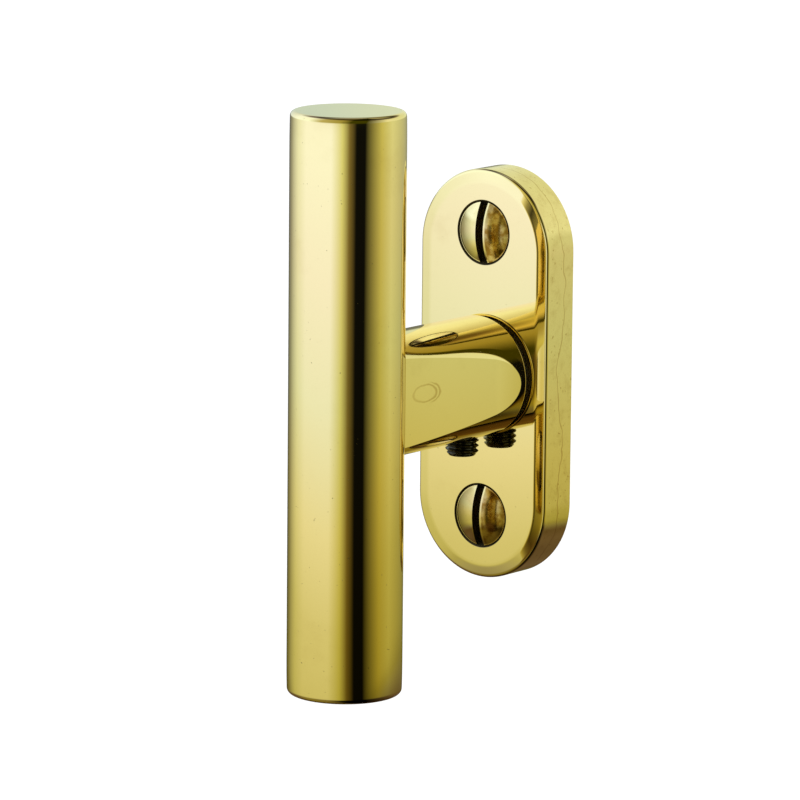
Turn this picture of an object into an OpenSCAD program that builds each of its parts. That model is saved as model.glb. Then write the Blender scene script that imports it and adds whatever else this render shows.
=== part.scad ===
// T-bar window handle on an obround rose, for an espagnolette or other square-spindle window lock.
// Millimetres. +Z is up, -Y points into the room and the rose's back face lies in the plane Y = 0.
// The origin is where the spindle's axis meets that plane, midway between the two fixing screws.

/* [Rose] */
// Width of the rose, which is also the diameter of its round ends
rose_w = 24; // [24:0.5:30]
// Height of the rose
rose_h = 62; // [60:1:75]
// Thickness of the rose
rose_t = 6.5; // [6.5:0.5:10]
// Rounding of the rose's front edge
rose_edge_r = 0.5; // [0.2:0.1:1]
// Distance between the fixing screws' axes
fixing_pitch = 43; // [41:0.5:45]

/* [Neck] */
// Diameter of the neck
neck_d = 18.2; // [18:0.1:19]
// Clear space for the fingers, from the rose's front face to the grip
finger_gap = 23.5; // [23.5:0.5:30]
// Half of the neck's width between its flats, at the grip end of the flats
flat_half_w = 6.2; // [6:0.1:7]
// Angle between each flat and the neck's axis
flat_taper = 5.6; // [5:0.1:6]
// Radius of the cutter that leaves each flat's curved run-out
cutter_r = 24; // [20:1:28]
// Distance from the rose's front face to where the run-out begins
flat_start = 7.2; // [7:0.1:8]

/* [Grip] */
// Diameter of the grip
grip_d = 17; // [16:0.5:20]
// Length of the grip
grip_l = 86; // [70:1:120]
// Rounding of the grip's ends
grip_edge_r = 1; // [0.5:0.1:2]

/* [Spindle] */
// Width of the square spindle across its flats
spindle_af = 7; // [6.8:0.1:7]
// Length of the spindle
spindle_l = 34; // [30:1:34]
// How far the spindle stands out behind the rose when it is pushed right in
spindle_out = 10; // [10:1:14]

/* [Fasteners] */
// Shank diameter of the fixing screws
fixing_d = 5; // [4.5:0.1:5]
// Length of the fixing screws, from the rim of the head to the point
fixing_l = 20; // [18:1:40]
// Diameter of the fixing screws' heads
fixing_head_d = 9.2; // [8.8:0.1:9.4]
// Diameter of the set screw
set_d = 5; // [4:0.5:5]
// Length of the set screw
set_l = 8; // [6:1:10]
// Distance from the rose's front face to the set screw's axis
set_reach = 4.6; // [4.4:0.1:5]

/* [Hidden] */
$fn = 96;

eps = 0.01;               // overlap of cutting shapes past the faces they cut
slip = 0.02;              // gap between faces that bear on each other but turn or slide
running = 0.05;           // radial clearance of a turning or sliding fit

// Spigot of the neck and the parts stacked on it behind the rose, from the wall plane outwards
spigot_r = 6;
groove_r = 5.75;          // bottom of the retaining ring's groove
groove_z = 0.5;
groove_w = 1.1;
ring_t = 1;
thrust_t = 0.4;
wave_gap = 0.8;           // room for the wave washer between the bush's flange and the thrust washer
flange_t = 0.5;
ring_z = groove_z + (groove_w - ring_t) / 2;
thrust_z = ring_z + ring_t + slip;
wave_z = thrust_z + thrust_t + slip;
flange_z = wave_z + wave_gap + slip;
web_z = flange_z + flange_t;         // back of the rose's web, which is the bottom of its recess
recess_r = 10;
bush_r = 7;
washer_or = 8.5;
washer_ir = spigot_r + 0.12;

// Neck and its inner bores
friction_t = 0.8;
neck_r = neck_d / 2;
neck_z = rose_t + friction_t;
neck_chamfer = 0.3;
grip_r = grip_d / 2;
grip_face_z = rose_t + finger_gap;
grip_z = grip_face_z + grip_r;
saddle_stock = 5;         // length of neck left for the saddle cut to take away
socket_af = spindle_af + 2 * running;
socket_z = spindle_l - spindle_out + 0.1;
spigot_end_z = 0.1;
tenon_r = 4.5;
tenon_z = grip_face_z + 6;

// Screw that draws the grip onto the neck's tenon
grip_screw_r = 2;
grip_screw_l = 16;
grip_head_r = spindle_af / 2 - 0.05;
grip_head_t = 2.6;
lock_t = 0.9;
seat_z = tenon_z - 8.2;              // shoulder in the neck that the lock washer bears on
lock_z = seat_z - lock_t;
tap_end_z = lock_z + grip_screw_l + 1.2;

// Fixing screws and their countersinks
fixing_hole_r = fixing_d / 2 + 0.25;
fixing_thread_r = fixing_d / 2 - 0.2;
csk_r = fixing_head_d / 2 + 0.3;
csk_depth = csk_r - fixing_hole_r;
head_r = fixing_head_d / 2;
rim_t = 0.15;                        // short upright band round the head
head_cone_z = rose_t - csk_r + head_r + slip;
head_rim_z = head_cone_z + rim_t;    // just below the rose's face
dome_base_r = head_r - 0.1;
dome_h = 1.3;
dome_r = (dome_base_r * dome_base_r + dome_h * dome_h) / (2 * dome_h);
slot_w = 1.4;
slot_depth = 2;
point_l = 4;

// Set screw
set_r = set_d / 2;
set_y = -(rose_t + set_reach);
set_top_z = -(spindle_af / 2 + slip);
hex_af = set_d / 2;

brass = [0.86, 0.76, 0.42];
screw_brass = [0.76, 0.66, 0.34];
steel = [0.72, 0.73, 0.75];
black_steel = [0.12, 0.12, 0.12];
white_polymer = [0.90, 0.89, 0.85];
black_polymer = [0.06, 0.06, 0.06];

// Puts a shape drawn with its Z axis pointing away from the wall onto the spindle's axis.
module on_axis() {
    rotate([90, 0, 0]) children();
}

module disc_ring(outer_r, inner_r, thickness) {
    difference() {
        cylinder(r = outer_r, h = thickness);
        translate([0, 0, -1]) cylinder(r = inner_r, h = thickness + 2);
    }
}

// Half of the rose's section: square at the back, rounded at the front.
module rose_half_section() {
    half = rose_w / 2;
    square([half - rose_edge_r, rose_t]);
    square([half, rose_t - rose_edge_r]);
    translate([half - rose_edge_r, rose_t - rose_edge_r]) circle(r = rose_edge_r);
}

module rose_slab() {
    straight = rose_h - rose_w;
    rotate([90, 0, 0]) linear_extrude(straight, center = true) {
        rose_half_section();
        mirror([1, 0]) rose_half_section();
    }
    for (side = [-1, 1]) translate([0, side * straight / 2, 0])
        rotate_extrude() rose_half_section();
}

module fixing_hole() {
    translate([0, 0, -1]) cylinder(r = fixing_hole_r, h = rose_t + 2);
    translate([0, 0, rose_t - csk_depth])
        cylinder(r1 = fixing_hole_r, r2 = csk_r + eps, h = csk_depth + eps);
}

module rose() {
    color(brass) on_axis() difference() {
        rose_slab();
        translate([0, 0, -1]) cylinder(r = bush_r, h = rose_t + 2);
        translate([0, 0, -1]) cylinder(r = recess_r, h = web_z + 1);
        for (side = [-1, 1]) translate([0, side * fixing_pitch / 2, 0]) fixing_hole();
    }
}

// Slotted wood screw with a raised countersunk head. Its plain shank ends at the wall and its thread follows.
module fixing_screw() {
    seat_depth = head_r - fixing_d / 2;
    point_z = head_rim_z - fixing_l;
    difference() {
        rotate_extrude() {
            polygon([
                [0, point_z],
                [fixing_thread_r, point_z + point_l],
                [fixing_thread_r, 0],
                [fixing_d / 2, 0],
                [fixing_d / 2, head_cone_z - seat_depth],
                [head_r, head_cone_z],
                [head_r, head_rim_z],
                [0, head_rim_z]
            ]);
            intersection() {
                translate([0, head_rim_z + dome_h - dome_r]) circle(r = dome_r);
                translate([0, head_rim_z - rim_t / 2]) square([dome_base_r, dome_h + rim_t]);
            }
        }
        translate([0, 0, head_rim_z + dome_h - slot_depth + 5])
            cube([slot_w, 2 * head_r + 2, 10], center = true);
    }
}

module fixing_screw_at(side) {
    color(screw_brass) on_axis() translate([0, side * fixing_pitch / 2, 0]) fixing_screw();
}

// Flanged bush that the neck's spigot turns in.
module bearing_bush() {
    color(white_polymer) on_axis() difference() {
        union() {
            translate([0, 0, flange_z]) cylinder(r = bush_r, h = rose_t - slip - flange_z);
            translate([0, 0, flange_z]) cylinder(r = washer_or, h = flange_t);
        }
        cylinder(r = spigot_r + running, h = rose_t + 1);
    }
}

module friction_washer() {
    color(black_polymer) on_axis() translate([0, 0, rose_t])
        disc_ring(washer_or - 0.3, washer_ir, friction_t - slip);
}

// Spring washer whose three waves fill the gap between the bush's flange and the thrust washer.
module wave_washer() {
    steps = 72;
    waves = 3;
    blank_t = 0.25;
    rise = (wave_gap - 2 * slip - blank_t) / 2;
    mid_z = wave_z + wave_gap / 2;
    corners = [[washer_ir + 0.1, -1], [washer_or - 0.2, -1], [washer_or - 0.2, 1], [washer_ir + 0.1, 1]];
    points = [
        for (i = [0:steps - 1]) let (a = 360 * i / steps, z = mid_z + rise * cos(waves * a))
            for (c = corners) [c[0] * cos(a), c[0] * sin(a), z + c[1] * blank_t / 2]
    ];
    faces = [
        for (i = [0:steps - 1], k = [0:3])
            let (j = (i + 1) % steps, n = (k + 1) % 4)
                [4 * i + k, 4 * i + n, 4 * j + n, 4 * j + k]
    ];
    color(steel) on_axis() polyhedron(points, faces, convexity = 6);
}

module thrust_washer() {
    color(steel) on_axis() translate([0, 0, thrust_z]) disc_ring(washer_or, washer_ir, thrust_t);
}

// External retaining ring with two eared ends, open at the top.
module retaining_ring() {
    body_r = groove_r + 1.5;
    ear_r = 1.5;
    ear_reach = 8;
    ear_angle = 20;
    opening = 2.6;
    color(steel) on_axis() translate([0, 0, ring_z]) linear_extrude(ring_t) difference() {
        union() {
            translate([0, -0.35]) circle(r = body_r);
            for (side = [-1, 1]) rotate(side * ear_angle) translate([0, ear_reach]) circle(r = ear_r);
            for (side = [-1, 1]) rotate(side * ear_angle) translate([-ear_r, 0]) square([2 * ear_r, ear_reach]);
        }
        circle(r = groove_r + slip);
        translate([-opening / 2, 0]) square([opening, 12]);
        for (side = [-1, 1]) rotate(side * ear_angle) translate([0, ear_reach]) circle(r = 0.85, $fn = 32);
    }
}

module turned_neck() {
    end_z = grip_face_z + saddle_stock;
    rotate_extrude() polygon([
        [0, spigot_end_z],
        [spigot_r - 0.2, spigot_end_z],
        [spigot_r, spigot_end_z + 0.2],
        [spigot_r, groove_z],
        [groove_r, groove_z],
        [groove_r, groove_z + groove_w],
        [spigot_r, groove_z + groove_w],
        [spigot_r, neck_z],
        [neck_r - neck_chamfer, neck_z],
        [neck_r, neck_z + neck_chamfer],
        [neck_r, end_z],
        [0, end_z]
    ]);
}

// Path of a round cutter that mills one tapered flat, from its run-out to the grip.
module flat_cutter() {
    tangent_z = rose_t + flat_start;
    flat_end_z = grip_z - sqrt(grip_r * grip_r - flat_half_w * flat_half_w);
    tangent_x = flat_half_w + (flat_end_z - tangent_z) * tan(flat_taper);
    translate([tangent_x, 0, tangent_z]) rotate([0, -flat_taper, 0]) {
        translate([cutter_r, 0, 0]) rotate([90, 0, 0])
            cylinder(r = cutter_r, h = neck_d + 4, center = true, $fn = 180);
        translate([0, -neck_r - 2, 0]) cube([2 * cutter_r, neck_d + 4, 40]);
    }
}

module neck() {
    color(brass) on_axis() difference() {
        union() {
            difference() {
                turned_neck();
                for (side = [0, 1]) mirror([side, 0, 0]) flat_cutter();
                translate([0, 0, grip_z]) rotate([90, 0, 0])
                    cylinder(r = grip_r + slip, h = grip_l, center = true);
            }
            translate([0, 0, seat_z]) cylinder(r = tenon_r, h = tenon_z - seat_z);
        }
        translate([-socket_af / 2, -socket_af / 2, -1]) cube([socket_af, socket_af, socket_z + 1]);
        cylinder(r = grip_head_r + 0.1, h = seat_z);
        cylinder(r = grip_screw_r + 0.2, h = tenon_z + 1);
        translate([0, 0, rose_t + set_reach]) rotate([90, 0, 0])
            cylinder(r = set_r + slip, h = neck_d);
    }
}

module grip() {
    half = grip_l / 2;
    round_z = half - grip_edge_r;
    color(brass) translate([0, -grip_z, 0]) difference() {
        rotate_extrude() {
            translate([0, -half]) square([grip_r - grip_edge_r, grip_l]);
            translate([0, -round_z]) square([grip_r, 2 * round_z]);
            for (side = [-1, 1]) translate([grip_r - grip_edge_r, side * round_z])
                circle(r = grip_edge_r, $fn = 32);
        }
        rotate([-90, 0, 0]) {
            translate([0, 0, grip_z - tenon_z - 0.1]) cylinder(r = tenon_r + slip, h = grip_r + 2);
            translate([0, 0, grip_z - tap_end_z]) cylinder(r = grip_screw_r + slip, h = grip_r + 4);
        }
    }
}

// Slotted cheese-head screw, put in through the spindle's socket.
module grip_screw() {
    color(steel) on_axis() difference() {
        union() {
            translate([0, 0, lock_z - grip_head_t]) cylinder(r = grip_head_r, h = grip_head_t);
            translate([0, 0, lock_z]) rotate_extrude() polygon([
                [0, -eps],
                [grip_screw_r, -eps],
                [grip_screw_r, grip_screw_l - 0.5],
                [grip_screw_r - 0.5, grip_screw_l],
                [0, grip_screw_l]
            ]);
        }
        translate([-0.6, -grip_head_r - 1, lock_z - grip_head_t - 1])
            cube([1.2, 2 * grip_head_r + 2, 2.3]);
    }
}

// Split spring washer under the grip screw's head.
module lock_washer() {
    inner_r = grip_screw_r + 0.1;
    color(steel) on_axis() translate([0, 0, lock_z + eps]) difference() {
        disc_ring(grip_head_r - 0.05, inner_r, lock_t - 2 * eps);
        rotate(30) translate([inner_r - 1, -0.25, -1]) cube([3, 0.5, lock_t + 2]);
    }
}

// Square bar with its corners turned off at both ends.
module spindle() {
    corner_r = spindle_af * sqrt(2) / 2;
    chamfer = 0.9;
    inner_z = spindle_l - spindle_out;
    color(steel) on_axis() intersection() {
        translate([-spindle_af / 2, -spindle_af / 2, -spindle_out]) cube([spindle_af, spindle_af, spindle_l]);
        rotate_extrude() polygon([
            [0, -spindle_out],
            [corner_r - chamfer, -spindle_out],
            [corner_r + 0.1, -spindle_out + chamfer + 0.1],
            [corner_r + 0.1, inner_z - chamfer - 0.1],
            [corner_r - chamfer, inner_z],
            [0, inner_z]
        ]);
    }
}

// Cup-point set screw with a hexagon socket in its lower end.
module set_screw() {
    chamfer = 0.4;
    cup_r = set_r / 2;
    color(black_steel) translate([0, set_y, set_top_z - set_l]) difference() {
        rotate_extrude() polygon([
            [0, 0],
            [set_r - chamfer, 0],
            [set_r, chamfer],
            [set_r, set_l - 2 * chamfer],
            [set_r - 2 * chamfer, set_l],
            [cup_r, set_l],
            [0, set_l - 0.7]
        ]);
        translate([0, 0, -1]) cylinder(r = hex_af / sqrt(3), h = 3.5, $fn = 6);
    }
}

rose();
fixing_screw_at(1);  // upper_fixing_screw
fixing_screw_at(-1);  // lower_fixing_screw
bearing_bush();
friction_washer();
wave_washer();
neck();
grip();
grip_screw();
lock_washer();
thrust_washer();
retaining_ring();
spindle();
set_screw();
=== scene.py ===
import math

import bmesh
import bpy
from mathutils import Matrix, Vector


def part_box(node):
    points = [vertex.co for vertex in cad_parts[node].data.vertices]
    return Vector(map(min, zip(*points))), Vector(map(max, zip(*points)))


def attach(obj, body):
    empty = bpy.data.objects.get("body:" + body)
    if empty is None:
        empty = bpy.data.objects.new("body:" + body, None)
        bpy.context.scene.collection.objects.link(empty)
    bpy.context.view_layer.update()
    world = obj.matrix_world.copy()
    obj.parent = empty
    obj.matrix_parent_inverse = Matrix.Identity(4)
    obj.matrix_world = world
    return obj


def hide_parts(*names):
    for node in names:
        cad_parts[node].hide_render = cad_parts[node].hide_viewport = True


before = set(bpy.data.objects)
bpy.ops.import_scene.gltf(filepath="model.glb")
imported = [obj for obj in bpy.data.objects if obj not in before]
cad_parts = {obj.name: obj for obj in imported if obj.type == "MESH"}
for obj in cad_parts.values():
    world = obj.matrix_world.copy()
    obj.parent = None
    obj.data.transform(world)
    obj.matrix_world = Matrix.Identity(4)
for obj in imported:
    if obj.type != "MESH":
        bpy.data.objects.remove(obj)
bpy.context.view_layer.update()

# A T-bar window handle in polished brass: an obround rose held by two slotted wood screws, a turning
# neck with two milled flats, a round grip, and the steel and nylon parts that hold and drive them.
# Shapes are drawn in millimetres in a local frame (x right, y up, z out of the wall) and become metres
# in the row frame when a mesh is made. Sizes come from the frame's boxes where a box shows them, and
# repeat part.scad where none does.

MM = 0.001


def local_box(node):
    """A CAD node's lowest and highest corners in the local frame, in millimetres."""
    low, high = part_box(node)
    return (low.x / MM, low.z / MM, -high.y / MM), (high.x / MM, high.z / MM, -low.y / MM)


# ---------------------------------------------------------------- sizes

ROSE_HIGH = local_box("rose")[1]
GRIP_HIGH = local_box("grip")[1]
NECK_LOW, NECK_HIGH = local_box("neck")
FRICTION_LOW, FRICTION_HIGH = local_box("friction_washer")
BUSH_LOW, BUSH_HIGH = local_box("bearing_bush")
THRUST_LOW, THRUST_HIGH = local_box("thrust_washer")
SPINDLE_LOW, SPINDLE_HIGH = local_box("spindle")
SET_LOW, SET_HIGH = local_box("set_screw")
SCREW_LOW, SCREW_HIGH = local_box("upper_fixing_screw")

# Fits between pieces that touch or slide
SLIP = 0.02
SPIGOT_SLIP = 0.05
WASHER_SLIP = 0.12
SHANK_SLIP = 0.25

# How finely round shapes are divided
CREASE = 32
HOLD = 0.05
TURNED_SIDES = 96
COUNTERSINK_SIDES = 80
SCREW_SIDES = 72
BORE_SIDES = 64
GRIP_SIDES = 192

# Rose: the plate, the facet that polishing has sloped off its edge, and the bush's bore and recess
ROSE_R = ROSE_HIGH[0]
ROSE_STRAIGHT = ROSE_HIGH[1] - ROSE_R
ROSE_T = ROSE_HIGH[2]
ROSE_EDGE_R = 0.5
ROLL_W = 2.3
ROLL_BLEND = 0.7
ROLL_SLOPE = math.tan(math.radians(7.5))
BORE_R = 7.0
RECESS_R = 10.0
BUSH_FLANGE_T = 0.5
RECESS_Z = BUSH_LOW[2] + BUSH_FLANGE_T

# Fixing screws
FIXING_Y = (SCREW_LOW[1] + SCREW_HIGH[1]) / 2
FIXING_SHANK_R = 2.5
FIXING_THREAD_R = 2.3
FIXING_ROOT_R = 1.65
FIXING_PITCH = 2.1
POINT_L = 4.0
CSK_R = 4.9
HEAD_R = SCREW_HIGH[0]
HEAD_CONE_Z = ROSE_T - CSK_R + HEAD_R + SLIP
HEAD_RIM_T = 0.15
HEAD_RIM_Z = HEAD_CONE_Z + HEAD_RIM_T
DOME_BASE_R = HEAD_R - 0.1
SLOT_HALF = 0.7
SLOT_DEPTH = 2.0

# Neck
NECK_R = NECK_HIGH[0]
TENON_R = 4.5
TENON_Z = NECK_HIGH[2]
SPIGOT_R = 6.0
SPIGOT_END = NECK_LOW[2]
GROOVE_R = 5.75
GROOVE_Z = (0.5, 1.6)
SHOULDER_Z = FRICTION_HIGH[2] + SLIP
SHOULDER_CHAMFER = 0.3
FLAT_HALF_W = 6.2
FLAT_TAPER = math.radians(5.6)
FLAT_START = 7.2
CUTTER_R = 24.0
FACET_EDGE_R = 0.1
SOCKET_HALF = 3.55
SOCKET_Z = 24.1
POCKET_Z = 27.8
SHANK_HOLE_R = 2.2
SADDLE_GAP = 0.03

# Grip
GRIP_R = GRIP_HIGH[0]
GRIP_HALF = GRIP_HIGH[1]
GRIP_Z = GRIP_HIGH[2] - GRIP_R
GRIP_EDGE_R = 0.8

# Set screw
SET_R = SET_HIGH[0]
SET_Z = (SET_LOW[2] + SET_HIGH[2]) / 2
SET_PITCH = 0.8
SET_THREAD = 0.42
SET_CHAMFER_L = 0.7
SET_CHAMFER_IN = 0.55
HEX_HALF = 1.25
HEX_R = HEX_HALF / math.cos(math.pi / 6)
HEX_DEPTH = 2.5

# Spindle
SPINDLE_HALF = SPINDLE_HIGH[0]


# ---------------------------------------------------------------- mesh tools


def to_row(point):
    """A local point in millimetres as a row-frame point in metres."""
    x, y, z = point
    return Vector((x * MM, -z * MM, y * MM))


def rounded(corners, steps=6, closed=False):
    """A 2D path through (a, b, radius) corners. A corner with a radius becomes an arc, and each long
    side gets a point close to both its ends, so that it stays straight when it is shaded smooth."""
    count = len(corners)
    pieces = []
    for i, (a, b, radius) in enumerate(corners):
        here = Vector((a, b))
        if radius <= 0 or (not closed and i in (0, count - 1)):
            pieces.append([here])
            continue
        before = (Vector(corners[i - 1][:2]) - here).normalized()
        after = (Vector(corners[(i + 1) % count][:2]) - here).normalized()
        half = before.angle(after) / 2
        reach = radius / math.tan(half)
        centre = here + (before + after).normalized() * (radius / math.sin(half))
        start = here + before * reach - centre
        stop = here + after * reach - centre
        sweep = start.angle_signed(stop)
        pieces.append([centre + Matrix.Rotation(-sweep * k / steps, 2) @ start for k in range(steps + 1)])
    points = []
    for i, piece in enumerate(pieces):
        points += piece
        if closed or i < count - 1:
            follow = pieces[(i + 1) % count][0]
            side = follow - piece[-1]
            if side.length > 4 * HOLD:
                points.append(piece[-1] + side.normalized() * HOLD)
                points.append(follow - side.normalized() * HOLD)
    return points


def circle(radius, height, sides, centre=(0.0, 0.0)):
    """A ring of local points about an axis that points out of the wall."""
    turns = [2 * math.pi * k / sides for k in range(sides)]
    return [(centre[0] + radius * math.cos(t), centre[1] + radius * math.sin(t), height) for t in turns]


def square_ring(half, height, corner_r):
    """A square with rounded corners, as a ring of local points."""
    signs = [(1, -1), (1, 1), (-1, 1), (-1, -1)]
    corners = [(half * a, half * b, corner_r) for a, b in signs]
    return [(p[0], p[1], height) for p in rounded(corners, 5, closed=True)]


def skin(bm, rings, closed=False):
    """Faces between rings of equally many points. Returns the rings as vertices."""
    made = [[bm.verts.new(to_row(p)) for p in ring] for ring in rings]
    pairs = list(zip(made, made[1:]))
    if closed:
        pairs.append((made[-1], made[0]))
    for low, high in pairs:
        for k in range(len(low)):
            n = (k + 1) % len(low)
            bm.faces.new((low[k], low[n], high[n], high[k]))
    return made


def fill_flat(bm, loops):
    """Flat faces between closed loops of vertices that lie in one plane."""
    edges = []
    for loop in loops:
        for k, v in enumerate(loop):
            w = loop[(k + 1) % len(loop)]
            edges.append(bm.edges.get((v, w)) or bm.edges.new((v, w)))
    bmesh.ops.triangle_fill(bm, use_beauty=True, use_dissolve=False, edges=edges)


def lathe(bm, path, sides, centre=(0.0, 0.0), closed=False):
    """Turns (radius, height) points about an axis that points out of the wall."""
    return skin(bm, [circle(max(r, 0.0), h, sides, centre) for r, h in path], closed)


def finish_mesh(bm, name, crease=CREASE):
    """Welds, closes and smooths a mesh, and makes it an object."""
    bmesh.ops.remove_doubles(bm, verts=bm.verts, dist=2e-7)
    bmesh.ops.dissolve_degenerate(bm, edges=bm.edges, dist=1e-8)
    bmesh.ops.recalc_face_normals(bm, faces=bm.faces)
    mesh = bpy.data.meshes.new(name)
    bm.to_mesh(mesh)
    bm.free()
    mesh.shade_smooth()
    mesh.set_sharp_from_angle(angle=math.radians(crease))
    piece = bpy.data.objects.new(name, mesh)
    bpy.context.scene.collection.objects.link(piece)
    return piece


def settle(piece):
    """Makes what a piece's modifiers do its own final mesh."""
    graph = bpy.context.evaluated_depsgraph_get()
    result = bpy.data.meshes.new_from_object(piece.evaluated_get(graph))
    piece.modifiers.clear()
    old = piece.data
    piece.data = result
    bpy.data.meshes.remove(old)
    result.name = piece.name
    result.shade_smooth()
    result.set_sharp_from_angle(angle=math.radians(CREASE))


def cut(piece, cutter, edge_r=0.0):
    """Takes a cutter solid away from a piece, and softens the edges that this leaves."""
    step = piece.modifiers.new("cut", "BOOLEAN")
    step.operation = "DIFFERENCE"
    step.solver = "EXACT"
    step.object = cutter
    if edge_r > 0:
        soften = piece.modifiers.new("soften", "BEVEL")
        soften.limit_method = "ANGLE"
        soften.angle_limit = math.radians(40)
        soften.width = edge_r * MM
        soften.segments = 3
    settle(piece)
    bpy.data.objects.remove(cutter)
    return piece


# ---------------------------------------------------------------- rose


def obround(inset, height):
    """The rose's outline, moved inwards, as a ring of local points."""
    radius = ROSE_R - inset
    hold = 0.3
    steps = 72
    right = [(radius, -ROSE_STRAIGHT + hold, height), (radius, ROSE_STRAIGHT - hold, height)]
    turns = [math.pi * k / steps for k in range(steps + 1)]
    top = [(radius * math.cos(t), ROSE_STRAIGHT + radius * math.sin(t), height) for t in turns]
    half = right + top
    return half + [(-x, -y, z) for x, y, z in half]


def roll_z(inset):
    """The rose's front near its edge, which polishing has sloped off, at a distance from the edge."""
    into = max(ROLL_W - inset, 0.0)
    if into < ROLL_BLEND:
        return ROSE_T - ROLL_SLOPE * into ** 2 / (2 * ROLL_BLEND)
    return ROSE_T - ROLL_SLOPE * (into - ROLL_BLEND / 2)


def rim_profile():
    """The rose's edge from its back to its face, as (distance inwards, distance from the wall) points."""
    back = [(p[0], p[1]) for p in rounded([(1.4, 0, 0), (0, 0, 0.15), (0, 1.0, 0)])]
    meet = 0.83 * ROSE_EDGE_R
    slope = math.atan(ROLL_SLOPE)
    centre_z = roll_z(meet) - ROSE_EDGE_R * math.cos(slope)
    arc_steps = 12
    facet_steps = 18
    front = []
    for k in range(arc_steps + 1):
        t = (math.pi / 2 - slope) * k / arc_steps
        front.append((ROSE_EDGE_R * (1 - math.cos(t)), centre_z + ROSE_EDGE_R * math.sin(t)))
    start = front[-1][0]
    rolled = [start + (ROLL_W - start) * k / facet_steps for k in range(1, facet_steps + 1)]
    return back + [(0, centre_z - 0.05)] + front + [(inset, roll_z(inset)) for inset in rolled]


def make_rose():
    """Plate with softly polished edges, two countersunk holes, a bore and a recess behind it."""
    bm = bmesh.new()
    outer = skin(bm, [obround(inset, height) for inset, height in rim_profile()])
    bore = [
        (BORE_R + 0.4, ROSE_T, 0),
        (BORE_R, ROSE_T, 0.15),
        (BORE_R, RECESS_Z, 0.1),
        (RECESS_R, RECESS_Z, 0.2),
        (RECESS_R, 0, 0.15),
        (RECESS_R + 0.5, 0, 0),
    ]
    middle = lathe(bm, rounded(bore), TURNED_SIDES)
    fronts = [outer[-1], middle[0]]
    backs = [outer[0], middle[-1]]
    hole_r = FIXING_SHANK_R + SHANK_SLIP
    countersink = [
        (CSK_R + 0.3, ROSE_T, 0),
        (CSK_R, ROSE_T, 0.08),
        (hole_r, ROSE_T - CSK_R + hole_r, 0.1),
        (hole_r, 0, 0.15),
        (hole_r + 0.4, 0, 0),
    ]
    for y in (-FIXING_Y, FIXING_Y):
        hole = lathe(bm, rounded(countersink), COUNTERSINK_SIDES, (0.0, y))
        fronts.append(hole[0])
        backs.append(hole[-1])
    fill_flat(bm, fronts)
    fill_flat(bm, backs)
    return finish_mesh(bm, "rose_plate")


# ---------------------------------------------------------------- neck

FLAT_END = GRIP_Z - math.sqrt(GRIP_R ** 2 - FLAT_HALF_W ** 2)
TANGENT_Z = ROSE_T + FLAT_START
TANGENT_X = FLAT_HALF_W + (FLAT_END - TANGENT_Z) * math.tan(FLAT_TAPER)
CUTTER_X = TANGENT_X + CUTTER_R * math.cos(FLAT_TAPER)
CUTTER_Z = TANGENT_Z + CUTTER_R * math.sin(FLAT_TAPER)
RUN_OUT_Z = CUTTER_Z - math.sqrt(CUTTER_R ** 2 - (CUTTER_X - NECK_R) ** 2)
SECTION_STEPS = (6, 5, 40)


def flat_x(z):
    """How far the neck's flats are from its middle plane, at a distance from the wall."""
    if z >= TANGENT_Z:
        return TANGENT_X - (z - TANGENT_Z) * math.tan(FLAT_TAPER)
    if z <= RUN_OUT_Z:
        return NECK_R
    return CUTTER_X - math.sqrt(CUTTER_R ** 2 - (z - CUTTER_Z) ** 2)


def quarter_point(step, radius, flat):
    """One point of a quarter of a circle with a flat: up the flat, round its soft edge, along the arc."""
    flats, edges, arcs = SECTION_STEPS
    flat = min(flat, radius)
    rise = math.sqrt(max((radius - FACET_EDGE_R) ** 2 - (flat - FACET_EDGE_R) ** 2, 0.0))
    turn = math.atan2(rise, flat - FACET_EDGE_R)
    if step < flats:
        return flat, max(rise - 0.04, 0.0) * step / (flats - 1)
    if step < flats + edges:
        t = turn * (step - flats) / edges
        return flat - FACET_EDGE_R + FACET_EDGE_R * math.cos(t), rise + FACET_EDGE_R * math.sin(t)
    t = turn + (math.pi / 2 - turn) * (step - flats - edges) / arcs
    return radius * math.cos(t), radius * math.sin(t)


def section(step, radius, flat):
    """One point of the neck's whole outline, counted from the middle of the right flat."""
    quarter = sum(SECTION_STEPS)
    side, part = divmod(step, quarter)
    x, y = quarter_point(part if side % 2 == 0 else quarter - part, radius, flat)
    return (x if side in (0, 3) else -x), (y if side in (0, 1) else -y)


SECTION_COUNT = 4 * sum(SECTION_STEPS)


def neck_ring(height, radius, flat):
    """The neck's outline at one height, as a ring of local points."""
    return [(*section(k, radius, flat), height) for k in range(SECTION_COUNT)]


def saddle_z(x):
    """Where the grip's underside is, above a point of the neck's end."""
    return GRIP_Z - SADDLE_GAP - math.sqrt(GRIP_R ** 2 - x ** 2)


def neck_end(step, inset):
    """Where one of the neck's lengthwise lines meets the grip."""
    z = FLAT_END
    for _ in range(8):
        x, y = section(step, NECK_R - inset, flat_x(z) - inset)
        z = saddle_z(x)
    return x, y, z


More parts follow.
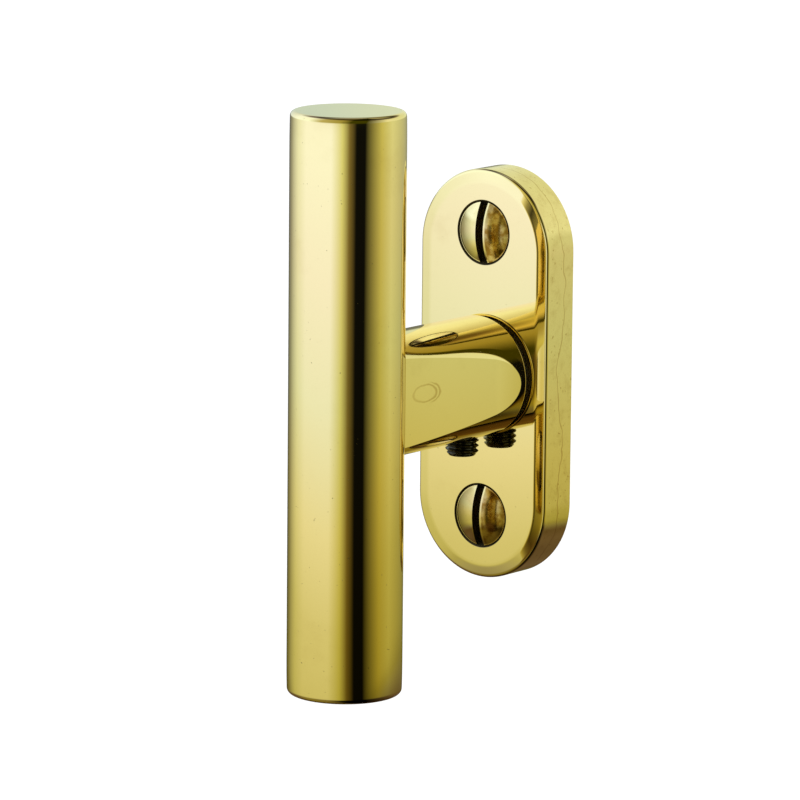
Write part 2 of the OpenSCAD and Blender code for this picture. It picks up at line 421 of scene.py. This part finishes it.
def make_neck():
    """Spigot with its groove, flatted stem, saddle and tenon, and the square socket and bore inside."""
    bm = bmesh.new()
    turned = [
        (SPIGOT_R - 0.5, SPIGOT_END, 0),
        (SPIGOT_R, SPIGOT_END, 0.2),
        (SPIGOT_R, GROOVE_Z[0], 0),
        (GROOVE_R, GROOVE_Z[0], 0),
        (GROOVE_R, GROOVE_Z[1], 0),
        (SPIGOT_R, GROOVE_Z[1], 0),
        (SPIGOT_R, SHOULDER_Z, 0),
        (NECK_R, SHOULDER_Z, SHOULDER_CHAMFER),
        (NECK_R, RUN_OUT_Z - 0.02, 0),
    ]
    rings = [neck_ring(z, r, r) for r, z in rounded(turned, 6)]
    steps = 110
    ends = [neck_end(k, 0.0)[2] for k in range(SECTION_COUNT)]
    for j in range(steps + 1):
        share = (j / steps) ** 1.6 * 0.995
        ring = []
        for k in range(SECTION_COUNT):
            z = RUN_OUT_Z + (ends[k] - RUN_OUT_Z) * share
            ring.append((*section(k, NECK_R, flat_x(z)), z))
        rings.append(ring)
    rings.append([neck_end(k, 0.12) for k in range(SECTION_COUNT)])
    tenon = neck_ring(TENON_Z, TENON_R, TENON_R)
    rings.append([(x, y, saddle_z(x)) for x, y, _ in tenon])
    rings.append(tenon)
    outer = skin(bm, rings)
    sides = BORE_SIDES
    bore = skin(bm, [circle(SHANK_HOLE_R, TENON_Z, sides), circle(SHANK_HOLE_R, POCKET_Z, sides)])
    pocket_r = SOCKET_HALF - SLIP
    pocket = skin(bm, [circle(pocket_r, POCKET_Z, sides), circle(pocket_r, SOCKET_Z, sides)])
    socket = skin(bm, [square_ring(SOCKET_HALF, z, 0.05) for z in (SOCKET_Z, SPIGOT_END)])
    fill_flat(bm, [outer[-1], bore[0]])
    fill_flat(bm, [bore[-1], pocket[0]])
    fill_flat(bm, [pocket[-1], socket[0]])
    fill_flat(bm, [socket[-1], outer[0]])
    neck = finish_mesh(bm, "neck_stem")
    hole = bmesh.new()
    mouth_y = -NECK_R
    profile = [
        (0, SET_HIGH[1] - 0.3),
        (SET_R + SLIP, SET_HIGH[1] - 0.3),
        (SET_R + SLIP, mouth_y + 0.25),
        (SET_R + 0.6, mouth_y - 0.3),
        (SET_R + 0.6, mouth_y - 2),
        (0, mouth_y - 2),
    ]
    skin(hole, [upright_ring(r, y, SCREW_SIDES) for r, y in profile])
    return cut(neck, finish_mesh(hole, "hole"))


def upright_ring(radius, y, sides):
    """A ring of local points about the set screw's axis."""
    return [(a, y, SET_Z + b) for a, b, _ in circle(max(radius, 0.0), 0, sides)]


# ---------------------------------------------------------------- grip


def make_grip():
    """Solid bar with hand-polished ends: its sides roll off very slightly before the rounded edge."""
    bm = bmesh.new()
    roll_l, roll_in = 5.0, 0.05
    side_steps, arc_steps = 40, 12
    side = []
    for k in range(side_steps + 1):
        y = GRIP_HALF - GRIP_EDGE_R - roll_l * k / side_steps
        side.append((GRIP_R - roll_in * (1 - k / side_steps) ** 2.5, y))
    start = side[0][0] - GRIP_EDGE_R
    arc = []
    for k in range(arc_steps + 1):
        t = math.pi / 2 * (1 - k / arc_steps)
        arc.append((start + GRIP_EDGE_R * math.cos(t), GRIP_HALF - GRIP_EDGE_R + GRIP_EDGE_R * math.sin(t)))
    top = [(0.0, GRIP_HALF), (start - 0.05, GRIP_HALF)] + arc + side[1:]
    path = top + [(r, -y) for r, y in reversed(top)]
    skin(bm, [[(a, y, GRIP_Z + b) for a, b, _ in circle(r, 0, GRIP_SIDES)] for r, y in path])
    return finish_mesh(bm, "grip_bar")


# ---------------------------------------------------------------- screws


def make_fixing_screw(name, side):
    """Raised countersunk head with a slot, plain shank and a wood-screw thread down to a gimlet point."""
    bm = bmesh.new()
    y = side * FIXING_Y
    tip = SCREW_LOW[2]
    sides = SCREW_SIDES
    rings = []
    steps = 150
    for j in range(steps + 1):
        z = tip + (0.05 - tip) * j / steps
        taper = min(1.0, (z - tip) / POINT_L)
        fade = min(1.0, max(0.0, -z / 1.2))
        ring = []
        for k in range(sides):
            turn = 2 * math.pi * k / sides
            phase = z / FIXING_PITCH - turn / (2 * math.pi)
            crest = max(0.0, 1 - 2.4 * abs((phase % 1) - 0.5)) ** 1.3
            root = FIXING_ROOT_R * taper ** 0.8
            radius = root + (FIXING_THREAD_R - FIXING_ROOT_R) * min(1.0, 0.25 + taper) * crest * fade
            radius = min(radius, FIXING_THREAD_R * taper ** 0.6 + 0.02)
            ring.append((radius * math.cos(turn), y + radius * math.sin(turn), z))
        rings.append(ring)
    head = [
        (FIXING_ROOT_R, 0.05, 0),
        (FIXING_SHANK_R, 0.55, 0.1),
        (FIXING_SHANK_R, HEAD_CONE_Z - HEAD_R + FIXING_SHANK_R, 0.3),
        (HEAD_R, HEAD_CONE_Z, 0.04),
        (HEAD_R, HEAD_RIM_Z, 0.06),
        (DOME_BASE_R, HEAD_RIM_Z, 0),
    ]
    path = [(p[0], p[1]) for p in rounded(head)][1:]
    dome_h = SCREW_HIGH[2] - HEAD_RIM_Z
    dome_r = (DOME_BASE_R ** 2 + dome_h ** 2) / (2 * dome_h)
    sweep = math.asin(DOME_BASE_R / dome_r)
    dome_steps = 30
    for k in range(1, dome_steps + 1):
        t = sweep * (1 - k / dome_steps)
        path.append((dome_r * math.sin(t), SCREW_HIGH[2] - dome_r + dome_r * math.cos(t)))
    skin(bm, rings + [circle(r, z, sides, (0.0, y)) for r, z in path])
    screw = finish_mesh(bm, name)
    bm = bmesh.new()
    low, high = SCREW_HIGH[2] - SLOT_DEPTH, SCREW_HIGH[2] + 3
    corners = [(-SLOT_HALF, y - 6), (SLOT_HALF, y - 6), (SLOT_HALF, y + 6), (-SLOT_HALF, y + 6)]
    for ring in skin(bm, [[(a, b, z) for a, b in corners] for z in (low, high)]):
        bm.faces.new(ring)
    return cut(screw, finish_mesh(bm, "slot"), edge_r=0.07)


def make_set_screw():
    """Threaded grub screw with a chamfered mouth, a hexagon socket below and a cup point above."""
    bm = bmesh.new()
    low, high = SET_LOW[1], SET_HIGH[1]
    sides = SCREW_SIDES
    per_pitch = 12
    steps = round((high - low) / SET_PITCH * per_pitch)
    rings = []
    for j in range(steps + 1):
        y = low + (high - low) * j / steps
        chamfer = min(1.0, (y - low) / SET_CHAMFER_L, (high - y) / SET_CHAMFER_L)
        limit = SET_R - SET_CHAMFER_IN * (1 - chamfer)
        ring = []
        for k in range(sides):
            turn = 2 * math.pi * k / sides
            wave = abs(2 * ((y / SET_PITCH - turn / (2 * math.pi)) % 1) - 1)
            depth = SET_THREAD * min(1.0, max(0.0, 1.25 * wave - 0.12))
            radius = min(SET_R - depth, limit)
            ring.append((radius * math.cos(turn), y, SET_Z + radius * math.sin(turn)))
        rings.append(ring)
    outer = skin(bm, rings)
    corners = [math.pi / 3 * k for k in range(6)]
    hexagon = [(HEX_R * math.cos(t), HEX_R * math.sin(t)) for t in corners]
    socket = skin(bm, [[(a, y, SET_Z + b) for a, b in hexagon] for y in (low, low + HEX_DEPTH)])
    fill_flat(bm, [outer[0], socket[0]])
    drill_point = bm.verts.new(to_row((0, low + HEX_DEPTH + 0.6, SET_Z)))
    for k in range(6):
        bm.faces.new((socket[-1][k], socket[-1][(k + 1) % 6], drill_point))
    cup = bm.verts.new(to_row((0, high - 1.0, SET_Z)))
    inner = skin(bm, [upright_ring(SET_R - 1.0, high, sides)])[0]
    for k in range(sides):
        n = (k + 1) % sides
        bm.faces.new((outer[-1][k], outer[-1][n], inner[n], inner[k]))
        bm.faces.new((inner[k], inner[n], cup))
    return finish_mesh(bm, "set_screw_body", crease=50)


# ---------------------------------------------------------------- washers, bush, ring and spindle


def make_washer(name, inner, outer, low, high, edge=0.06):
    """Flat ring with rounded edges."""
    bm = bmesh.new()
    corners = [(inner, low, edge), (outer, low, edge), (outer, high, edge), (inner, high, edge)]
    lathe(bm, rounded(corners, 4, closed=True), TURNED_SIDES, closed=True)
    return finish_mesh(bm, name)


def make_bush():
    """Flanged bush with a lead-in at both ends of its bore."""
    bm = bmesh.new()
    low, high = BUSH_LOW[2], BUSH_HIGH[2]
    bore = SPIGOT_R + SPIGOT_SLIP
    flange_top = low + BUSH_FLANGE_T - 0.01
    section_corners = [
        (bore, low, 0.15),
        (BUSH_HIGH[0], low, 0.1),
        (BUSH_HIGH[0], flange_top, 0.1),
        (BORE_R - 0.01, flange_top, 0),
        (BORE_R - 0.01, high, 0.1),
        (bore, high, 0.1),
    ]
    lathe(bm, rounded(section_corners, 4, closed=True), TURNED_SIDES, closed=True)
    return finish_mesh(bm, "bush_sleeve")


def make_spindle():
    """Square bar with rounded corners and chamfered ends."""
    bm = bmesh.new()
    low, high = SPINDLE_LOW[2], SPINDLE_HIGH[2]
    chamfer = 0.8
    profile = [(chamfer, low), (0.04, low + chamfer - 0.04), (0, low + chamfer + 0.1)]
    profile += [(0, high - chamfer - 0.1), (0.04, high - chamfer + 0.04), (chamfer, high)]
    rings = skin(bm, [square_ring(SPINDLE_HALF - inset, z, 0.75) for inset, z in profile])
    bm.faces.new(rings[0])
    bm.faces.new(rings[-1])
    return finish_mesh(bm, "spindle_bar_visual")


# ---------------------------------------------------------------- materials


class Recipe:
    """A small helper that adds nodes to one material."""

    def __init__(self, name):
        self.material = bpy.data.materials.new(name)
        self.material.use_nodes = True
        self.tree = self.material.node_tree
        self.shader = self.tree.nodes["Principled BSDF"]
        self.place = self.node("ShaderNodeTexCoord").outputs["Object"]

    def node(self, kind, **values):
        """Adds a node and sets its properties."""
        made = self.tree.nodes.new(kind)
        for key, value in values.items():
            setattr(made, key, value)
        return made

    def set(self, socket, value):
        """Sets a socket to a constant, or links another socket to it."""
        if isinstance(value, bpy.types.NodeSocket):
            self.tree.links.new(value, socket)
        else:
            socket.default_value = (*value, 1) if isinstance(value, tuple) and len(value) == 3 else value

    def math(self, operation, first, second=0.0, third=0.0):
        """A math node on sockets or constants."""
        made = self.node("ShaderNodeMath", operation=operation)
        for socket, value in zip(made.inputs, (first, second, third)):
            self.set(socket, value)
        return made.outputs[0]

    def plus(self, first, second):
        return self.math("ADD", first, second)

    def minus(self, first, second):
        return self.math("SUBTRACT", first, second)

    def times(self, first, second):
        return self.math("MULTIPLY", first, second)

    def larger(self, first, second):
        return self.math("MAXIMUM", first, second)

    def length(self, first, second):
        """The length of a vector with two parts at right angles."""
        return self.math("SQRT", self.plus(self.times(first, first), self.times(second, second)))

    def split(self, vector):
        """The three parts of a vector."""
        made = self.node("ShaderNodeSeparateXYZ")
        self.set(made.inputs[0], vector)
        return made.outputs

    def noise(self, scale, detail=3.0, roughness=0.55, stretch=(1, 1, 1)):
        """Noise of about `scale` features per millimetre, stretched along the row frame's axes."""
        mapping = self.node("ShaderNodeMapping")
        self.set(mapping.inputs["Vector"], self.place)
        mapping.inputs["Scale"].default_value = [s / MM for s in stretch]
        made = self.node("ShaderNodeTexNoise")
        self.set(made.inputs["Vector"], mapping.outputs[0])
        made.inputs["Scale"].default_value = scale
        made.inputs["Detail"].default_value = detail
        made.inputs["Roughness"].default_value = roughness
        return made.outputs["Fac"]

    def step(self, value, low, high, low_out=0.0, high_out=1.0):
        """Maps a range of a value smoothly to another."""
        made = self.node("ShaderNodeMapRange", interpolation_type="SMOOTHSTEP")
        for socket, item in zip(made.inputs, (value, low, high, low_out, high_out)):
            self.set(socket, item)
        return made.outputs[0]

    def mix(self, factor, first, second):
        """A blend from one colour to another."""
        made = self.node("ShaderNodeMix", data_type="RGBA")
        self.set(made.inputs["Factor"], factor)
        self.set(made.inputs[6], first)
        self.set(made.inputs[7], second)
        return made.outputs[2]

    def bump(self, height, depth, below=None):
        """A bump whose height of 1 stands `depth` millimetres."""
        made = self.node("ShaderNodeBump")
        made.inputs["Strength"].default_value = 1.0
        made.inputs["Distance"].default_value = depth * MM
        self.set(made.inputs["Height"], height)
        if below is not None:
            self.set(made.inputs["Normal"], below)
        return made.outputs[0]

    def finish(self, colour, roughness, normal=None, metallic=1.0):
        """Sets the shader's main inputs, and returns the material."""
        self.set(self.shader.inputs["Base Color"], colour)
        self.set(self.shader.inputs["Roughness"], roughness)
        self.set(self.shader.inputs["Metallic"], metallic)
        if normal is not None:
            self.set(self.shader.inputs["Normal"], normal)
        return self.material


BRASS = (0.90, 0.76, 0.36)
TARNISH = (0.62, 0.46, 0.17)
# A dark brown for a painted reflection on the screw heads right of their slots.
REFLECTED_BROWN = (0.30, 0.17, 0.03)
# A near-black for real dirt in the brass's pits, and for painted shade in the rose's countersinks and the
# screw slots.
DIRT_AND_SHADE = (0.030, 0.022, 0.012)


def brass_recipe(name, roughness, grain, grain_depth, specks):
    """Polished brass: faint machining grain along one direction, smears, pits and light tarnish."""
    recipe = Recipe(name)
    smears = recipe.noise(0.16, 4.0, 0.6)
    tarnish = recipe.step(recipe.noise(0.09, 5.0, 0.65), 0.52, 0.78, 0.0, 0.22)
    pits = recipe.step(recipe.noise(2.4, 1.0, 0.4), 1 - specks, 1 - specks + 0.04)
    colour = recipe.mix(tarnish, BRASS, TARNISH)
    colour = recipe.mix(recipe.times(pits, 0.5), colour, DIRT_AND_SHADE)
    rough = recipe.step(smears, 0.35, 0.75, roughness, roughness + 0.025)
    rough = recipe.plus(rough, recipe.times(pits, 0.25))
    lines = recipe.bump(recipe.noise(1.0, 2.0, 0.5, grain), grain_depth)
    waves = recipe.bump(recipe.noise(0.22, 1.0, 0.4), 0.0016, lines)
    return recipe, colour, rough, waves


def grip_brass():
    """The grip's brass, with turning lines round it."""
    recipe, colour, rough, normal = brass_recipe("grip_brass", 0.035, (0.25, 0.25, 9.0), 0.0005, 0.235)
    return recipe.finish(colour, rough, normal)


def rose_brass():
    """The rose's brass: painted shade inside its countersinks, and pitted and scratched on its sides."""
    recipe, colour, rough, normal = brass_recipe("rose_brass", 0.03, (2.2, 2.2, 0.5), 0.0001, 0.205)
    x, y, z = recipe.split(recipe.place)
    up = recipe.minus(recipe.math("ABSOLUTE", z), FIXING_Y * MM)
    span = recipe.length(x, up)
    # Painted shade: the countersinks are darkened near the front, round the screw heads, where the gap
    # between head and plate lies in shade.
    front = recipe.step(y, -(ROSE_T - 2.8) * MM, -(ROSE_T - 1.6) * MM, 0.0, 0.96)
    painted_shade = recipe.step(span, (CSK_R - 0.02) * MM, (CSK_R + 0.06) * MM, 1.0, 0.0)
    painted_shade = recipe.times(painted_shade, front)
    side = recipe.step(y, -(ROSE_T - 0.6) * MM, -(ROSE_T - 1.0) * MM)
    wander = recipe.times(recipe.noise(0.11, 3.0, 0.5), 5.0 * MM)
    off = recipe.math("ABSOLUTE", recipe.plus(recipe.plus(y, wander), 0.2 * MM))
    scratch = recipe.step(off, 0.04 * MM, 0.16 * MM, 0.8, 0.0)
    pits = recipe.step(recipe.noise(1.7, 2.0, 0.5), 0.67, 0.71, 0.0, 0.9)
    cloud = recipe.step(recipe.noise(0.5, 5.0, 0.7), 0.45, 0.75, 0.0, 0.45)
    marks = recipe.larger(recipe.larger(scratch, pits), cloud)
    colour = recipe.mix(recipe.times(marks, side), colour, TARNISH)
    colour = recipe.mix(painted_shade, colour, DIRT_AND_SHADE)
    rough = recipe.plus(rough, recipe.times(side, 0.05))
    rough = recipe.plus(rough, recipe.times(painted_shade, 0.5))
    ripple = recipe.times(recipe.noise(0.45, 3.0, 0.5), side)
    return recipe.finish(colour, rough, recipe.bump(ripple, 0.006, normal))


def neck_brass():
    """The neck's brass, with a faint double ring on its right flat."""
    recipe, colour, rough, normal = brass_recipe("neck_brass", 0.035, (0.3, 6.0, 0.3), 0.0001, 0.2)
    mark_z, mark_y = 28.4, 1.0
    long_half, high_half = 2.6, 1.35
    x, y, z = recipe.split(recipe.place)
    warp = recipe.times(recipe.minus(recipe.noise(0.5, 2.0), 0.5), 0.30)
    along = recipe.math("DIVIDE", recipe.plus(y, mark_z * MM), long_half * MM)
    up = recipe.math("DIVIDE", recipe.minus(z, mark_y * MM), high_half * MM)
    span = recipe.length(along, up)
    span = recipe.plus(span, warp)
    outer = recipe.minus(recipe.step(span, 0.78, 0.92), recipe.step(span, 0.98, 1.08))
    edge = recipe.minus(recipe.step(span, 1.12, 1.20), recipe.step(span, 1.22, 1.34))
    edge = recipe.times(edge, recipe.step(along, 0.2, 0.9))
    outer = recipe.times(outer, recipe.step(along, -1.0, 1.0, 0.55, 1.0))
    ring = recipe.larger(outer, edge)
    ring = recipe.times(ring, recipe.step(x, 0.0, 2 * MM, 0.0, 0.85))
    colour = recipe.mix(ring, colour, TARNISH)
    rough = recipe.plus(rough, recipe.times(ring, 0.1))
    return recipe.finish(colour, rough, normal)


def screw_brass():
    """Duller brass: painted shade low in the slot, a painted dark brown reflection right of it, and a lower
    screw that is duller.
    """
    recipe = Recipe("screw_brass")
    tarnish = recipe.step(recipe.noise(0.5, 4.0, 0.6), 0.40, 0.75, 0.0, 0.4)
    x, y, z = recipe.split(recipe.place)
    tarnish = recipe.plus(tarnish, recipe.step(z, -10 * MM, 10 * MM, 0.35, 0.0))
    colour = recipe.mix(tarnish, BRASS, TARNISH)
    head = recipe.step(y, -(HEAD_RIM_Z - 1.2) * MM, -(HEAD_RIM_Z - 0.8) * MM)
    # Painted reflection: the domed head is coloured dark brown right of the slot, for what it reflects
    # there.
    right = recipe.times(recipe.step(x, (SLOT_HALF + 0.15) * MM, (SLOT_HALF + 0.4) * MM), head)
    painted_reflection = recipe.times(recipe.step(recipe.noise(0.75, 3.0, 0.6), 0.38, 0.62, 0.55, 1.0), right)
    colour = recipe.mix(painted_reflection, colour, REFLECTED_BROWN)
    # Painted shade: the slot is darkened towards its floor.
    shallow, deep = 7.3, 6.4
    depth = recipe.step(y, -shallow * MM, -deep * MM)
    inside = recipe.step(recipe.math("ABSOLUTE", x), 0.66 * MM, 0.76 * MM, 1.0, 0.0)
    inside = recipe.times(depth, inside)
    painted_shade = recipe.times(inside, recipe.times(head, 0.97))
    colour = recipe.mix(painted_shade, colour, DIRT_AND_SHADE)
    rough = recipe.step(recipe.noise(1.2, 3.0), 0.3, 0.8, 0.05, 0.14)
    rough = recipe.plus(rough, recipe.times(painted_shade, 0.4))
    rough = recipe.plus(rough, recipe.times(painted_reflection, 0.08))
    return recipe.finish(colour, rough, recipe.bump(recipe.noise(3.0, 3.0), 0.0006))


def black_oxide():
    """Oiled black steel, worn lighter in places."""
    recipe = Recipe("black_oxide_steel")
    wear = recipe.step(recipe.noise(2.0, 4.0, 0.7), 0.5, 0.8)
    colour = recipe.mix(wear, (0.080, 0.080, 0.070), (0.26, 0.25, 0.21))
    rough = recipe.step(recipe.noise(1.1, 3.0), 0.3, 0.7, 0.16, 0.30)
    return recipe.finish(colour, rough, recipe.bump(recipe.noise(6.0, 3.0), 0.002))


def plated_steel(name, colour, spot, roughness):
    """Steel with a cloudy surface and a fine grain."""
    recipe = Recipe(name)
    cloud = recipe.step(recipe.noise(0.35, 4.0, 0.6), 0.35, 0.7)
    grain = recipe.noise(3.0, 3.0, 0.6, (1.0, 0.12, 1.0))
    rough = recipe.step(grain, 0.3, 0.75, roughness, roughness + 0.12)
    return recipe.finish(recipe.mix(cloud, colour, spot), rough, recipe.bump(grain, 0.0012))


def nylon(name, colour, spot, roughness):
    """Moulded nylon, slightly translucent."""
    recipe = Recipe(name)
    cloud = recipe.noise(0.6, 3.0)
    rough = recipe.step(recipe.noise(2.5, 2.0), 0.3, 0.7, roughness, roughness + 0.1)
    recipe.shader.inputs["Subsurface Weight"].default_value = 0.1
    recipe.shader.inputs["Subsurface Scale"].default_value = 0.5 * MM
    normal = recipe.bump(recipe.noise(5.0, 2.0), 0.002)
    return recipe.finish(recipe.mix(cloud, colour, spot), rough, normal, metallic=0.0)


LOOKS = {
    "grip_brass": grip_brass(),
    "rose_brass": rose_brass(),
    "neck_brass": neck_brass(),
    "screw_brass": screw_brass(),
    "black_oxide_steel": black_oxide(),
    "zinc_plated_steel": plated_steel("zinc_plated_steel", (0.66, 0.68, 0.71), (0.56, 0.57, 0.58), 0.24),
    "spring_steel": plated_steel("spring_steel", (0.36, 0.36, 0.37), (0.24, 0.24, 0.26), 0.28),
    "white_nylon": nylon("white_nylon", (0.78, 0.76, 0.70), (0.70, 0.68, 0.62), 0.42),
    "black_nylon": nylon("black_nylon", (0.018, 0.018, 0.018), (0.030, 0.029, 0.028), 0.4),
}

# ---------------------------------------------------------------- the parts in place


def place(piece, body, look, node):
    """Gives a piece its look and its body, and hides the CAD node that it stands for."""
    piece.data.materials.clear()
    piece.data.materials.append(LOOKS[look])
    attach(piece, body)
    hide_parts(node)


place(make_rose(), "rose_unit", "rose_brass", "rose")
place(make_neck(), "handle_unit", "neck_brass", "neck")
place(make_grip(), "handle_unit", "grip_brass", "grip")
for node, side in (("upper_fixing_screw", 1), ("lower_fixing_screw", -1)):
    place(make_fixing_screw(node + "_body", side), "rose_unit", "screw_brass", node)
place(make_set_screw(), "clamp_screw", "black_oxide_steel", "set_screw")
washer_bore_r = SPIGOT_R + WASHER_SLIP
friction_edge = 0.12
friction = make_washer(
    "friction_disc", washer_bore_r, FRICTION_HIGH[0], FRICTION_LOW[2], FRICTION_HIGH[2], friction_edge
)
thrust = make_washer("thrust_disc", washer_bore_r, THRUST_HIGH[0], THRUST_LOW[2], THRUST_HIGH[2])
place(friction, "rose_unit", "black_nylon", "friction_washer")
place(thrust, "handle_unit", "zinc_plated_steel", "thrust_washer")
place(make_bush(), "rose_unit", "white_nylon", "bearing_bush")
place(make_spindle(), "spindle_bar", "zinc_plated_steel", "spindle")

CARRIED_OVER = {
    "wave_washer": "spring_steel",
    "retaining_ring": "spring_steel",
    "lock_washer": "spring_steel",
    "grip_screw": "zinc_plated_steel",
}
for node, look in CARRIED_OVER.items():
    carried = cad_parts[node]
    carried.data.materials.clear()
    carried.data.materials.append(LOOKS[look])

# ---------------------------------------------------------------- camera

CAMERA_AZIMUTH = 38.65
CAMERA_ELEVATION = 10.53
CAMERA_ROLL = -0.53
CAMERA_DISTANCE = 0.8706
CAMERA_LENS = 260.4
AIM_RIGHT = 0.0163
AIM_UP = 0.0047


def make_camera():
    """A long lens at an azimuth and elevation, whose axis passes the origin by the aim offsets."""
    azimuth, elevation = math.radians(CAMERA_AZIMUTH), math.radians(CAMERA_ELEVATION)
    back = Vector((
        math.sin(azimuth) * math.cos(elevation),
        -math.cos(azimuth) * math.cos(elevation),
        math.sin(elevation),
    ))
    roll = Matrix.Rotation(math.radians(-CAMERA_ROLL), 3, "Z")
    turn = (-back).to_track_quat("-Z", "Y").to_matrix() @ roll
    data = bpy.data.cameras.new("camera")
    data.lens = CAMERA_LENS
    data.clip_start, data.clip_end = 0.01, 50
    camera = bpy.data.objects.new("camera", data)
    stand = back * CAMERA_DISTANCE - turn.col[0] * AIM_RIGHT - turn.col[1] * AIM_UP
    camera.matrix_world = Matrix.Translation(stand) @ turn.to_4x4()
    bpy.context.scene.collection.objects.link(camera)
    bpy.context.scene.camera = camera


# ---------------------------------------------------------------- studio

TENT_R = 0.13
TENT_HIGH_FROM = (0.031, 0.050)
TENT_LOW_FROM = (-0.082, -0.064)
FLOOR_Z = -0.95

# The light round the object, by degrees from the front towards the right: a cool white front, a black
# strip on the right of it, a warm far side and a dark stretch on the left.
TENT_ROUND = [
    (-180, (0.50, 0.50, 0.35)),
    (-115, (0.05, 0.05, 0.05)),
    (-85, (0.35, 0.35, 0.30)),
    (-55, (0.90, 0.95, 1.00)),
    (-35, (1.05, 1.10, 1.40)),
    (5, (1.05, 1.10, 1.40)),
    (20, (0.75, 0.75, 0.40)),
    (30, (0.20, 0.15, 0.05)),
    (40, (0.005, 0.005, 0.005)),
    (55, (0.005, 0.005, 0.005)),
    (90, (0.60, 0.55, 0.20)),
    (120, (0.75, 0.75, 0.50)),
    (180, (0.50, 0.50, 0.35)),
]

# The same higher up, above the first range of heights.
TENT_HIGH = [
    (-180, (0.80, 0.85, 0.60)),
    (-140, (0.80, 0.85, 0.65)),
    (-125, (0.60, 0.70, 0.65)),
    (-100, (0.80, 0.90, 1.00)),
    (-60, (1.10, 1.25, 1.60)),
    (-30, (1.10, 1.25, 1.50)),
    (-10, (0.55, 0.50, 0.25)),
    (15, (0.40, 0.35, 0.10)),
    (30, (0.05, 0.05, 0.00)),
    (55, (0.05, 0.05, 0.00)),
    (105, (0.90, 0.90, 0.70)),
    (180, (0.80, 0.85, 0.60)),
]

# The same low down, below the second range.
TENT_LOW = [
    (-180, (0.15, 0.10, 0.05)),
    (-60, (0.15, 0.10, 0.05)),
    (-30, (0.30, 0.25, 0.05)),
    (0, (0.25, 0.20, 0.05)),
    (20, (0.00, 0.00, 0.00)),
    (60, (0.00, 0.00, 0.00)),
    (140, (0.15, 0.10, 0.05)),
    (180, (0.15, 0.10, 0.05)),
]

# What the light is multiplied by, by metres above the object's middle.
TENT_FALL = [
    (-0.130, (0.20, 0.15, 0.10)),
    (-0.090, (1.00, 1.00, 1.00)),
    (-0.070, (0.60, 0.55, 0.20)),
    (-0.050, (0.70, 0.65, 0.30)),
    (-0.035, (0.85, 0.80, 0.50)),
    (-0.015, (0.90, 0.95, 0.85)),
    (0.005, (1.00, 1.00, 1.00)),
    (0.025, (1.05, 1.10, 1.10)),
    (0.100, (1.00, 1.00, 1.00)),
    (0.110, (0.25, 0.20, 0.20)),
    (0.118, (0.05, 0.05, 0.05)),
    (0.130, (0.50, 0.45, 0.40)),
]


def ramp(recipe, value, stops, low, high):
    """A colour ramp over a range of a value."""
    share = recipe.math("DIVIDE", recipe.minus(value, low), high - low)
    made = recipe.node("ShaderNodeValToRGB")
    elements = made.color_ramp.elements
    while len(elements) > 1:
        elements.remove(elements[-1])
    for i, (at, colour) in enumerate(stops):
        spot = (at - low) / (high - low)
        element = elements[0] if i == 0 else elements.new(spot)
        element.position = spot
        element.color = (*colour, 1)
    made.color_ramp.interpolation = "LINEAR"
    recipe.set(made.inputs[0], share)
    return made.outputs[0]


def make_tent():
    """A sphere of coloured light that only reflections see."""
    bm = bmesh.new()
    bmesh.ops.create_uvsphere(bm, u_segments=160, v_segments=96, radius=TENT_R)
    mesh = bpy.data.meshes.new("light_tent")
    bm.to_mesh(mesh)
    bm.free()
    mesh.shade_smooth()
    tent = bpy.data.objects.new("light_tent", mesh)
    bpy.context.scene.collection.objects.link(tent)
    recipe = Recipe("tent_light")
    x, y, z = recipe.split(recipe.place)
    turn = recipe.math("DEGREES", recipe.math("ARCTAN2", x, recipe.times(y, -1.0)))
    level = ramp(recipe, turn, TENT_ROUND, -180, 180)
    upper = ramp(recipe, turn, TENT_HIGH, -180, 180)
    lower = ramp(recipe, turn, TENT_LOW, -180, 180)
    around = recipe.mix(recipe.step(z, *TENT_HIGH_FROM), level, upper)
    around = recipe.mix(recipe.step(z, *TENT_LOW_FROM), lower, around)
    fall = ramp(recipe, z, TENT_FALL, -TENT_R, TENT_R)
    product = recipe.node("ShaderNodeMix", data_type="RGBA", blend_type="MULTIPLY")
    product.inputs["Factor"].default_value = 1.0
    recipe.set(product.inputs[6], around)
    recipe.set(product.inputs[7], fall)
    light = recipe.node("ShaderNodeEmission")
    recipe.set(light.inputs["Color"], product.outputs[2])
    output = recipe.tree.nodes["Material Output"]
    recipe.tree.links.new(light.outputs[0], output.inputs["Surface"])
    recipe.tree.nodes.remove(recipe.shader)
    mesh.materials.append(recipe.material)
    for ray in ("camera", "diffuse", "transmission", "volume_scatter", "shadow"):
        setattr(tent, "visible_" + ray, False)


def make_floor():
    """Plain pale paper, far below and hidden from reflections."""
    bm = bmesh.new()
    bmesh.ops.create_grid(bm, x_segments=1, y_segments=1, size=12)
    bmesh.ops.translate(bm, verts=bm.verts, vec=(0, 0, FLOOR_Z))
    floor = finish_mesh(bm, "floor")
    recipe = Recipe("floor_paper")
    cloud = recipe.noise(0.02, 2.0)
    floor.data.materials.append(
        recipe.finish(recipe.mix(cloud, (0.91, 0.91, 0.91), (0.89, 0.89, 0.89)), 0.9, metallic=0.0)
    )
    floor.visible_glossy = False


def make_world():
    """Plain white light from all round."""
    world = bpy.data.worlds.new("studio")
    world.use_nodes = True
    back = world.node_tree.nodes["Background"]
    back.inputs["Color"].default_value = (1, 1, 1, 1)
    back.inputs["Strength"].default_value = 1.2
    bpy.context.scene.world = world


make_camera()
make_tent()
make_floor()
make_world()
bpy.context.scene.view_settings.view_transform = "Standard"
